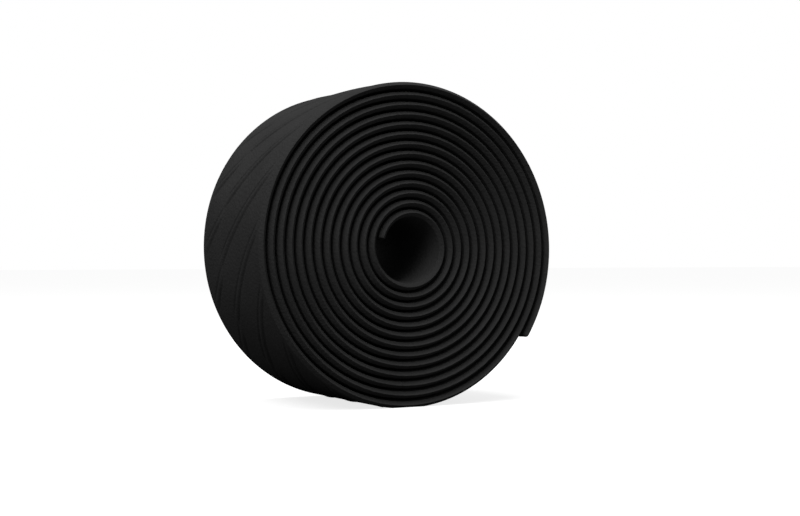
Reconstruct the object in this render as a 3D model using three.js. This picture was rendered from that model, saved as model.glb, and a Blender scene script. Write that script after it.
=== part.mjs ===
// A roll of handlebar tape: one strip of foam tape, wound on itself without a core.
// Millimetres, +Z up. The roll lies on its side, its axis along Y and its front end facing -Y.
// The origin is the middle of the small flat spot that the soft roll rests on.

import * as THREE from 'three';

// The strip, lying flat
const tapeWidth = 37.5;       // between the crests of its two edges
const tapeThickness = 2.2;    // in the middle of its width
const crestDrop = 0.8;        // from the outer face down to the crest of an edge
const crestReach = 1.2;       // how far a crest stands out from the rim of the outer face
const heelThickness = 1.66;   // from the outer face down to the heel, where the bevel under the crest ends
const heelReach = 1;          // how far a crest stands out from the heel
const skiveWidth = 6;         // from a crest in to where the back has been skived thinner

// The winding
const turns = 13.55;
const turnGap = 0.15;         // air from one turn to the next, in the middle of the width
const coreRadius = 6.45;      // from the axis to the back of the strip at its inner end
const outerEndDegrees = -34;  // where the outer end lies, counter-clockwise from +X seen from the front

// The flat spot under the roll
const flatWidth = 8;

const facetsPerTurn = 28;

const fullTurn = 2 * Math.PI;
const pitch = tapeThickness + turnGap;
const outerRadius = coreRadius + tapeThickness + turns * pitch;
const outerEnd = THREE.MathUtils.degToRad(outerEndDegrees);

// Places along the strip are angles wound inwards from its outer end
const innerEndWound = turns * fullTurn;
const bottomWound = THREE.MathUtils.euclideanModulo(-Math.PI / 2 - outerEnd, fullTurn);

function outerFaceRadius(wound) {
  return outerRadius - pitch * wound / fullTurn;
}

const flatHalfAngle = Math.asin(flatWidth / 2 / outerFaceRadius(bottomWound));
const flatFrom = bottomWound - flatHalfAngle;
const flatTo = bottomWound + flatHalfAngle;
const restHeight = outerFaceRadius(flatTo) * Math.cos(flatHalfAngle);

// The strip's section: x across its width, y down from its outer face. Each edge is two bevels that meet at
// a crest, and behind them the back is skived.
function stripSection() {
  const crest = tapeWidth / 2;
  const rightSide = [
    new THREE.Vector2(crest - crestReach, 0),
    new THREE.Vector2(crest, -crestDrop),
    new THREE.Vector2(crest - heelReach, -heelThickness),
    new THREE.Vector2(crest - skiveWidth, -tapeThickness),
  ];
  const leftSide = rightSide.map((point) => new THREE.Vector2(-point.x, point.y)).reverse();
  return new THREE.Shape([...rightSide, ...leftSide]);
}

// Places along the strip from its outer end to its inner end. The facets of all turns lie behind one another,
// so that the air between them is even, and one facet of the outer turn is the flat spot
function placesAlong() {
  const flatStep = flatTo - flatFrom;
  const plainStep = (fullTurn - flatStep) / (facetsPerTurn - 1);
  const places = [];
  for (let from = flatFrom - fullTurn; from < innerEndWound; from += fullTurn) {
    places.push(from);
    for (let i = 0; i < facetsPerTurn - 1; i += 1) {
      places.push(from + flatStep + i * plainStep);
    }
  }
  const between = places.filter((place) => place > 0 && place < innerEndWound - plainStep / 2);
  return [0, ...between, innerEndWound];
}

// The strip is extruded straight, one unit of length for each place, and then wound up
function woundStrip() {
  const places = placesAlong();
  const length = places.length - 1;
  const geometry = new THREE.ExtrudeGeometry(stripSection(), {
    depth: length,
    steps: length,
    bevelEnabled: false,
  });
  const points = geometry.getAttribute('position');
  for (let i = 0; i < points.count; i += 1) {
    const wound = places[Math.round(points.getZ(i))];
    const angle = outerEnd + wound;
    const radius = outerFaceRadius(wound) + points.getY(i);
    const height = Math.max(radius * Math.sin(angle), -restHeight);
    points.setXYZ(i, radius * Math.cos(angle), -points.getX(i), restHeight + height);
  }
  geometry.computeVertexNormals();
  return geometry;
}

const blackFoam = new THREE.MeshStandardMaterial({ color: 0x303030, roughness: 0.66, metalness: 0 });

const tapeRoll = new THREE.Mesh(woundStrip(), blackFoam);
tapeRoll.name = 'tape_roll';

const part = new THREE.Group();
part.add(tapeRoll);

export default part;
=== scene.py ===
"""The looks of a roll of handlebar tape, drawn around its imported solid.

The strip is laid out flat, with bevelled edges and slanting grooves pressed into its face, and is then wound
up as the solid is. Metres, +Z up, the roll's front end facing -Y, its flat spot on the floor at the origin.
"""

import math

import bmesh
import bpy
import numpy as np
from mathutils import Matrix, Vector


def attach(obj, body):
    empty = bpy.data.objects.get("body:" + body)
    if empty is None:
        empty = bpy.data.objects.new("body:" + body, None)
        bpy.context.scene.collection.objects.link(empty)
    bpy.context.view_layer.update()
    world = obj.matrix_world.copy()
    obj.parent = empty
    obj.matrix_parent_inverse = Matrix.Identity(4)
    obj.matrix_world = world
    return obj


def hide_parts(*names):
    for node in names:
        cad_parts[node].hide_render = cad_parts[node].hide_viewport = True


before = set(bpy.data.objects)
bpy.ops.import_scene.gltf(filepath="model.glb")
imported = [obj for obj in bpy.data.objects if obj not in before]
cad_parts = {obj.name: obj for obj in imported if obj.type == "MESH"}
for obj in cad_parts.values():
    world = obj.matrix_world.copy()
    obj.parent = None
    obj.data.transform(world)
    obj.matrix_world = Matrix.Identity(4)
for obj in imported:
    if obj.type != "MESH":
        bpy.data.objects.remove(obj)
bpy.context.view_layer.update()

MM = 0.001
FULL_TURN = 2 * math.pi

# The strip, as in the solid
TAPE_WIDTH = 37.5 * MM
TAPE_THICKNESS = 2.2 * MM
CREST_DROP = 0.8 * MM
CREST_REACH = 1.2 * MM
HEEL_THICKNESS = 1.66 * MM
HEEL_REACH = 1.0 * MM
SKIVE_WIDTH = 6 * MM

# The winding, as in the solid
TURNS = 13.55
TURN_GAP = 0.15 * MM
CORE_RADIUS = 6.45 * MM
OUTER_END = math.radians(-34)
FLAT_WIDTH = 8 * MM

PITCH = TAPE_THICKNESS + TURN_GAP
OUTER_RADIUS = CORE_RADIUS + TAPE_THICKNESS + TURNS * PITCH

# Roundings of the strip's corners
RIM_ROUND = 0.15 * MM
CREST_ROUND = 0.08 * MM
HEEL_ROUND = 0.2 * MM
OUTER_END_ROUND = 0.8 * MM
INNER_END_ROUND = 0.2 * MM
ROUND_STEPS = 5

# The slanting pairs of grooves in the outer face
GROOVE_EVERY = 14.5 * MM       # along the strip, from one pair to the next
FIRST_GROOVE = 0.3 * MM        # from the outer end, for a pair without its slant and bow
PAIR_SPACING = 2.1 * MM        # between the two grooves of a pair, square to them
GROOVE_WIDTH = 1.15 * MM
GROOVE_DEPTH = 0.25 * MM
RIDGE_HEIGHT = 0.17 * MM       # how far the pressing raises the foam between the two grooves
SLANT = 0.98                   # along the strip for each unit across it
SLANT_REACH = SLANT * TAPE_WIDTH / 2
SLANT_BOW = 1.0 * MM           # how far a pair bows along the strip in the middle of the width
BREAK_AT = 6.4 * MM            # where each pair is broken, behind the middle of the width
BREAK_STEP = 2.3 * MM          # how far along it goes on from there
GROOVE_MARGIN = 1.6 * MM       # plain face between a pair's ends and the rims
GROOVE_FADE = 1.1 * MM         # how long a groove takes to run out at its ends

# The grid of the mesh
FACE_ROWS = 28
BACK_ROWS = 4
PLAIN_PER_TURN = 76
COLUMN_STEP = 0.28 * MM        # along the strip, where a groove runs
FILL_STEP = 1.5 * MM           # along the strip, between grooves
UNSLANT_LENGTH = 40 * MM       # over which the columns turn straight again, under the outer turn
CUT_TOLERANCE = 1e-7           # how near a point counts as on the cut at the outer end
SLIVER = 2e-6                  # edges shorter than this are merged away after that cut

# The foam's look
DARKEST_FOAM = 0.0292
PALEST_FOAM = 0.0342
CLOUD_SCALE = 90.0             # of the slow change between the two
SMOOTHEST_FOAM = 0.58
ROUGHEST_FOAM = 0.74
GRAIN_SCALE = 1500.0
GRAIN_STRENGTH = 0.7
GRAIN_HEIGHT = 0.3 * MM

# The light
SKY_LIGHTING = 0.37            # what the world gives the roll and the floor
SKY_SEEN = 1.0                 # how bright the world looks
LAMP_SIZE = 0.35
LAMPS = [                      # name, place, watts
    ("overhead", (0, 0, 0.638), 2.5),
    ("key", (-0.33, -0.27, 0.458), 1.95),
]

# The floor
FLOOR_HALF = 4.0
FLOOR_SCATTER = 0.13           # its grey where it lights the roll
FLOOR_PALE = 0.5               # its grey where it is seen, under its glow
FLOOR_GLOW = 0.78

# The camera, fitted to the outline of the roll in the photo
CAMERA_TURN = math.radians(28.263)
CAMERA_AWAY = 8.4823 * OUTER_RADIUS
CAMERA_ASIDE = 0.0563 * OUTER_RADIUS
CAMERA_BELOW = 0.062 * OUTER_RADIUS
SENSOR_WIDTH = 36
FOCAL_LENGTH = 64.46
NEAREST_SEEN = 0.01


def wound(along):
    """The angle wound inwards from the outer end, for a length along the strip's outer face."""
    return (OUTER_RADIUS - np.sqrt(OUTER_RADIUS**2 - PITCH * along / math.pi)) * FULL_TURN / PITCH


def along_at(angle):
    """The length along the strip's outer face, for an angle wound inwards."""
    return OUTER_RADIUS * angle - PITCH * angle**2 / (2 * FULL_TURN)


def face_radius(angle):
    """The outer face's distance from the roll's axis."""
    return OUTER_RADIUS - PITCH * angle / FULL_TURN


bottom_wound = (-math.pi / 2 - OUTER_END) % FULL_TURN
flat_half_angle = math.asin(FLAT_WIDTH / 2 / face_radius(bottom_wound))
AXIS_HEIGHT = face_radius(bottom_wound + flat_half_angle) * math.cos(flat_half_angle)


def wind(flat_points):
    """Winds flat points (along, across, drop below the outer face) up into the roll, on its flat spot."""
    along, across, drop = np.asarray(flat_points).T
    inwards = wound(along)
    radius = face_radius(inwards) - drop
    angle = OUTER_END + inwards
    height = AXIS_HEIGHT + radius * np.sin(angle)
    return np.stack([radius * np.cos(angle), across, np.maximum(height, 0)], axis=1)


def rounded_corner(before, corner, after, radius):
    """Points of the arc that rounds a corner between two straight lines."""
    before, corner, after = (np.array(p, float) for p in (before, corner, after))
    inward = (before - corner) / np.linalg.norm(before - corner)
    outward = (after - corner) / np.linalg.norm(after - corner)
    half_angle = math.acos(float(np.clip(inward @ outward, -1, 1))) / 2
    start = corner + inward * radius / math.tan(half_angle)
    middle = (inward + outward) / np.linalg.norm(inward + outward)
    centre = corner + middle * radius / math.sin(half_angle)
    sweep = math.pi - 2 * half_angle
    side = start - centre
    turn = math.copysign(1, inward[1] * outward[0] - inward[0] * outward[1])
    angles = turn * np.linspace(0, sweep, ROUND_STEPS)
    return [
        centre + np.array([
            side[0] * math.cos(a) - side[1] * math.sin(a),
            side[0] * math.sin(a) + side[1] * math.cos(a),
        ])
        for a in angles
    ]


def edge_points():
    """(across, drop) down the strip's edge at the back end of the roll, from its outer face to its back."""
    half = TAPE_WIDTH / 2
    middle_top = (0, 0)
    rim = (half - CREST_REACH, 0)
    crest = (half, CREST_DROP)
    heel = (half - HEEL_REACH, HEEL_THICKNESS)
    skive = (half - SKIVE_WIDTH, TAPE_THICKNESS)
    return [
        *rounded_corner(middle_top, rim, crest, RIM_ROUND),
        *rounded_corner(rim, crest, heel, CREST_ROUND),
        *rounded_corner(crest, heel, skive, HEEL_ROUND),
        np.array(skive),
    ]


def fade(distance):
    """0 outside a groove's end, rising smoothly to 1 inside it."""
    t = np.clip(distance / GROOVE_FADE, 0, 1)
    return t * t * (3 - 2 * t)


def groove_shape(offset):
    """How deep the face lies at a distance from the middle of a pair: two round grooves, a ridge between."""
    from_groove = np.abs(np.abs(offset) - PAIR_SPACING / 2) / (GROOVE_WIDTH / 2)
    press = np.cos(np.clip(from_groove, 0, 1) * math.pi / 2) ** 2
    from_middle = np.abs(offset) / (PAIR_SPACING / 2)
    ridge = np.cos(np.clip(from_middle, 0, 1) * math.pi / 2) ** 2
    return GROOVE_DEPTH * press - RIDGE_HEIGHT * ridge


def slant(across):
    """How far along the strip a groove has moved on, at a place across the width."""
    return SLANT * across + SLANT_BOW * (1 - (across / (TAPE_WIDTH / 2)) ** 2)


def from_nearest_pair(place):
    """The distance along the strip from the nearest pair, where one pair is at place 0."""
    return (place + GROOVE_EVERY / 2) % GROOVE_EVERY - GROOVE_EVERY / 2


def face_drop(column, across):
    """How far the grooves press the face in, at a column's own place and at places across the width."""
    to_normal = 1 / math.hypot(1, SLANT)
    front = from_nearest_pair(column - FIRST_GROOVE)
    back = from_nearest_pair(column - FIRST_GROOVE - BREAK_STEP)
    rim = TAPE_WIDTH / 2 - CREST_REACH - GROOVE_MARGIN
    front_part = fade(across + rim) * fade(BREAK_AT - across)
    back_part = fade(across - BREAK_AT - GROOVE_FADE / 2) * fade(rim - across)
    return front_part * groove_shape(front * to_normal) + back_part * groove_shape(back * to_normal)


def grooved_columns(length):
    """Places along the strip for the columns of the grooved stretch, close together where a groove runs."""
    reach = (PAIR_SPACING + GROOVE_WIDTH) / 2 * math.hypot(1, SLANT) + COLUMN_STEP
    dense = np.arange(-reach, reach + BREAK_STEP + COLUMN_STEP, COLUMN_STEP)
    plain = GROOVE_EVERY - (dense[-1] - dense[0])
    fill_count = round(plain / FILL_STEP)
    fill = dense[-1] + plain * np.arange(1, fill_count) / fill_count
    one_pair = np.concatenate([dense, fill])
    before = math.ceil((FIRST_GROOVE + SLANT_REACH) / GROOVE_EVERY) + 1
    count = math.ceil(length / GROOVE_EVERY) + 1
    starts = FIRST_GROOVE + GROOVE_EVERY * np.arange(-before, count)
    columns = (starts[:, None] + one_pair[None, :]).ravel()
    return columns[columns < length]


def end_steps(radius):
    """Distances from an end of the strip at which its rounding has a ring."""
    return radius * (1 - np.cos(np.linspace(0, math.pi / 2, ROUND_STEPS)))


def grooved_rings(mesh, section, face_count, length):
    """Rings of the grooved stretch, which slant with the grooves and are straight again at its end."""
    across, drop = section.T
    is_face = np.arange(len(section)) < face_count
    rings = []
    for column in grooved_columns(length):
        slanted = np.clip((length - column) / UNSLANT_LENGTH, 0, 1)
        press = face_drop(column, across) * is_face * slanted
        along = column + slanted * slant(across)
        points = np.stack([along, across, drop + press], axis=1)
        rings.append([mesh.verts.new(point) for point in points])
    return rings


def plain_rings(mesh, section, start):
    """Rings of the plain stretch from a place along the strip to its inner end, and where that end is."""
    start_turn = float(wound(start))
    end_turn = TURNS * FULL_TURN
    count = math.ceil((end_turn - start_turn) / FULL_TURN * PLAIN_PER_TURN)
    places = list(along_at(np.linspace(start_turn, end_turn, count)))
    inner_end = places.pop()
    places += [inner_end - step for step in end_steps(INNER_END_ROUND)[::-1]]
    rings = [[mesh.verts.new((place, a, d)) for a, d in section] for place in places]
    return rings, inner_end


def bridge(mesh, rings):
    """Closed bands of four-sided faces, each between two rings that follow one another."""
    for ring, following in zip(rings, rings[1:]):
        count = len(ring)
        for k in range(count):
            after = (k + 1) % count
            mesh.faces.new([ring[k], following[k], following[after], ring[after]])


def join_full_to_plain(mesh, full, plain, face_count, edge_count, back_count):
    """Joins a ring with rows across its face and back to one without, by one wide face on each."""
    edge = full[face_count:face_count + edge_count]
    back = full[face_count + edge_count:face_count + edge_count + back_count]
    mirrored = full[face_count + edge_count + back_count:]
    face = full[:face_count]
    for side, plain_side in ((edge, plain[:edge_count]), (mirrored, plain[edge_count:])):
        for k in range(edge_count - 1):
            mesh.faces.new([side[k], plain_side[k], plain_side[k + 1], side[k + 1]])
    mesh.faces.new([edge[-1], plain[edge_count - 1], plain[edge_count], mirrored[0], *back[::-1]])
    mesh.faces.new([mirrored[-1], plain[-1], plain[0], edge[0], *face[::-1]])


def cut_outer_end(mesh):
    """Cuts the slanted columns off square at the outer end, and gives the end's rounding its rings."""
    for step in end_steps(OUTER_END_ROUND):
        bmesh.ops.bisect_plane(
            mesh,
            geom=[*mesh.verts, *mesh.edges, *mesh.faces],
            dist=CUT_TOLERANCE,
            plane_co=(step, 0, 0),
            plane_no=(-1, 0, 0),
            clear_outer=step == 0,
        )
    rim = [e for e in mesh.edges if e.is_boundary]
    bmesh.ops.edgeloop_fill(mesh, edges=rim)
    bmesh.ops.dissolve_degenerate(mesh, dist=SLIVER, edges=mesh.edges)


def strip_mesh():
    """The flat strip as a bmesh, and how far along its inner end is.

    It is grooved and slanted to just past one turn, and has plain rings from there inwards.
    """
    edge = np.array(edge_points())
    mirrored = edge[::-1] * [-1, 1]
    face = np.linspace(mirrored[-1][0], edge[0][0], FACE_ROWS + 1)[1:-1]
    back = np.linspace(edge[-1][0], mirrored[0][0], BACK_ROWS + 1)[1:-1]
    on_face = np.stack([face, np.zeros_like(face)], axis=1)
    on_back = np.stack([back, np.full_like(back, TAPE_THICKNESS)], axis=1)
    full_section = np.concatenate([on_face, edge, on_back, mirrored])
    plain_section = np.concatenate([edge, mirrored])
    plain_from = along_at(FULL_TURN) + SLANT_REACH + UNSLANT_LENGTH

    mesh = bmesh.new()
    grooved = grooved_rings(mesh, full_section, len(on_face), plain_from)
    bridge(mesh, grooved)
    plain, inner_end = plain_rings(mesh, plain_section, plain_from)
    bridge(mesh, plain)
    join_full_to_plain(mesh, grooved[-1], plain[0], len(on_face), len(edge), len(on_back))
    mesh.faces.new(plain[-1])
    cut_outer_end(mesh)
    return mesh, inner_end


def round_the_ends(points, inner_end):
    """Draws the section in towards its middle within the rounding of each end."""
    along, across, drop = points.T
    from_outer = np.clip(1 - along / OUTER_END_ROUND, 0, 1)
    from_inner = np.clip(1 - (inner_end - along) / INNER_END_ROUND, 0, 1)
    outer_inset = OUTER_END_ROUND * (1 - np.sqrt(1 - from_outer**2))
    inner_inset = INNER_END_ROUND * (1 - np.sqrt(1 - from_inner**2))
    inset = outer_inset + inner_inset
    middle_drop = TAPE_THICKNESS / 2
    narrower = 1 - inset / (TAPE_WIDTH / 2)
    thinner = 1 - inset / (TAPE_THICKNESS / 2)
    return np.stack([along, across * narrower, middle_drop + (drop - middle_drop) * thinner], axis=1)


def make_roll():
    """The wound strip as one object in the frame of the solid, with its faces outwards."""
    strip, inner_end = strip_mesh()
    points = np.array([v.co for v in strip.verts])
    places = wind(round_the_ends(points, inner_end))
    for vertex, place in zip(strip.verts, places):
        vertex.co = Vector(place)
    bmesh.ops.recalc_face_normals(strip, faces=strip.faces)
    if strip.calc_volume(signed=True) < 0:
        bmesh.ops.reverse_faces(strip, faces=strip.faces)
    data = bpy.data.meshes.new("wound_tape")
    strip.to_mesh(data)
    strip.free()
    data.shade_smooth()
    made = bpy.data.objects.new("wound_tape", data)
    bpy.context.scene.collection.objects.link(made)
    return made


def grey(value):
    """A neutral colour, opaque."""
    return (value, value, value, 1)


def node(tree, kind, place, **values):
    """A shader node of a kind at a place in the tree, with its settings and plain socket values."""
    made = tree.nodes.new(kind)
    made.location = place
    for name, value in values.items():
        if name in made.inputs:
            made.inputs[name].default_value = value
        else:
            setattr(made, name, value)
    return made


def foam_material():
    """Black foamed polyurethane: a matt skin with fine grain, and slow changes in how dark it is."""
    material = bpy.data.materials.new("black_foam")
    material.use_nodes = True
    tree = material.node_tree
    tree.nodes.clear()
    link = tree.links.new
    output = node(tree, "ShaderNodeOutputMaterial", (900, 0))
    shader = node(tree, "ShaderNodeBsdfPrincipled", (600, 0))
    shader.inputs["Specular IOR Level"].default_value = 0.0
    place = node(tree, "ShaderNodeTexCoord", (-900, 0))
    grain = node(tree, "ShaderNodeTexNoise", (-600, 200), Scale=GRAIN_SCALE, Detail=2.0, Roughness=0.5)
    cloud = node(tree, "ShaderNodeTexNoise", (-600, -100), Scale=CLOUD_SCALE, Detail=3.0, Roughness=0.5)
    link(place.outputs["Object"], grain.inputs["Vector"])
    link(place.outputs["Object"], cloud.inputs["Vector"])
    colour = node(tree, "ShaderNodeValToRGB", (0, 200))
    colour.color_ramp.elements[0].position = 0.3
    colour.color_ramp.elements[0].color = grey(DARKEST_FOAM)
    colour.color_ramp.elements[1].position = 0.7
    colour.color_ramp.elements[1].color = grey(PALEST_FOAM)
    link(cloud.outputs["Fac"], colour.inputs["Fac"])
    link(colour.outputs["Color"], shader.inputs["Base Color"])
    rough = node(tree, "ShaderNodeMapRange", (0, -100))
    rough.inputs["To Min"].default_value = SMOOTHEST_FOAM
    rough.inputs["To Max"].default_value = ROUGHEST_FOAM
    link(grain.outputs["Fac"], rough.inputs["Value"])
    link(rough.outputs["Result"], shader.inputs["Roughness"])
    bump = node(tree, "ShaderNodeBump", (300, -300), Strength=GRAIN_STRENGTH, Distance=GRAIN_HEIGHT)
    link(grain.outputs["Fac"], bump.inputs["Height"])
    link(bump.outputs["Normal"], shader.inputs["Normal"])
    link(shader.outputs["BSDF"], output.inputs["Surface"])
    return material


def seen_directly(tree, place):
    """1 for what the camera sees itself, in a gloss or through glass, and 0 for light that scatters."""
    x, y = place
    link = tree.links.new
    path = node(tree, "ShaderNodeLightPath", (x - 400, y))
    first = node(tree, "ShaderNodeMath", (x - 200, y), operation="MAXIMUM")
    both = node(tree, "ShaderNodeMath", (x, y), operation="MAXIMUM")
    link(path.outputs["Is Camera Ray"], first.inputs[0])
    link(path.outputs["Is Glossy Ray"], first.inputs[1])
    link(first.outputs[0], both.inputs[0])
    link(path.outputs["Is Transmission Ray"], both.inputs[1])
    return both.outputs[0]


def make_world():
    """White where it is seen, and a soft grey where it lights."""
    world = bpy.data.worlds.new("studio")
    bpy.context.scene.world = world
    world.use_nodes = True
    tree = world.node_tree
    tree.nodes.clear()
    link = tree.links.new
    output = node(tree, "ShaderNodeOutputWorld", (600, 0))
    mix = node(tree, "ShaderNodeMixShader", (400, 0))
    lighting = node(tree, "ShaderNodeBackground", (100, 100), Color=grey(1), Strength=SKY_LIGHTING)
    seen = node(tree, "ShaderNodeBackground", (100, -100), Color=grey(1), Strength=SKY_SEEN)
    link(seen_directly(tree, (0, 300)), mix.inputs["Fac"])
    link(lighting.outputs[0], mix.inputs[1])
    link(seen.outputs[0], mix.inputs[2])
    link(mix.outputs[0], output.inputs["Surface"])


def floor_material():
    """Pale and faintly glowing where it is seen, and a dark grey where it throws light back up."""
    material = bpy.data.materials.new("pale_floor")
    material.use_nodes = True
    tree = material.node_tree
    tree.nodes.clear()
    link = tree.links.new
    output = node(tree, "ShaderNodeOutputMaterial", (800, 0))
    mix = node(tree, "ShaderNodeMixShader", (600, 0))
    scattering = node(tree, "ShaderNodeBsdfDiffuse", (300, 100), Color=grey(FLOOR_SCATTER))
    pale = node(tree, "ShaderNodeBsdfDiffuse", (100, -100), Color=grey(FLOOR_PALE))
    glow = node(tree, "ShaderNodeEmission", (100, -250), Color=grey(1), Strength=FLOOR_GLOW)
    seen = node(tree, "ShaderNodeAddShader", (300, -150))
    link(seen_directly(tree, (300, 350)), mix.inputs["Fac"])
    link(pale.outputs[0], seen.inputs[0])
    link(glow.outputs[0], seen.inputs[1])
    link(scattering.outputs[0], mix.inputs[1])
    link(seen.outputs[0], mix.inputs[2])
    link(mix.outputs[0], output.inputs["Surface"])
    return material


def make_floor():
    """A pale floor that keeps the roll's shadow."""
    half = FLOOR_HALF
    corners = [(-half, -half, 0), (half, -half, 0), (half, half, 0), (-half, half, 0)]
    data = bpy.data.meshes.new("floor")
    data.from_pydata(corners, [], [(0, 1, 2, 3)])
    data.materials.append(floor_material())
    floor = bpy.data.objects.new("floor", data)
    bpy.context.scene.collection.objects.link(floor)


def make_lamp(name, place, watts):
    """A square softbox that faces the middle of the roll."""
    data = bpy.data.lights.new(name, "AREA")
    data.shape = "SQUARE"
    data.size = LAMP_SIZE
    data.energy = watts
    lamp = bpy.data.objects.new(name, data)
    lamp.location = place
    towards = Vector((0, 0, AXIS_HEIGHT)) - Vector(place)
    lamp.rotation_euler = towards.to_track_quat("-Z", "Y").to_euler()
    bpy.context.scene.collection.objects.link(lamp)


def make_camera():
    """The photo's viewpoint: level, a little under the roll's axis, and round to the roll's left."""
    forward = Vector((math.sin(CAMERA_TURN), math.cos(CAMERA_TURN), 0))
    rightward = Vector((math.cos(CAMERA_TURN), -math.sin(CAMERA_TURN), 0))
    front = Vector((0, CREST_REACH - TAPE_WIDTH / 2, AXIS_HEIGHT))
    data = bpy.data.cameras.new("camera")
    data.sensor_width = SENSOR_WIDTH
    data.lens = FOCAL_LENGTH
    data.clip_start = NEAREST_SEEN
    camera = bpy.data.objects.new("camera", data)
    level = front - forward * CAMERA_AWAY - rightward * CAMERA_ASIDE
    camera.location = level - Vector((0, 0, CAMERA_BELOW))
    camera.rotation_euler = forward.to_track_quat("-Z", "Y").to_euler()
    bpy.context.scene.collection.objects.link(camera)
    bpy.context.scene.camera = camera


make_camera()
roll = make_roll()
roll.data.materials.append(foam_material())
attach(roll, "root")
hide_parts("tape_roll")

make_world()
make_floor()
for lamp_name, lamp_place, lamp_watts in LAMPS:
    make_lamp(lamp_name, lamp_place, lamp_watts)
bpy.context.scene.view_settings.view_transform = "Standard"
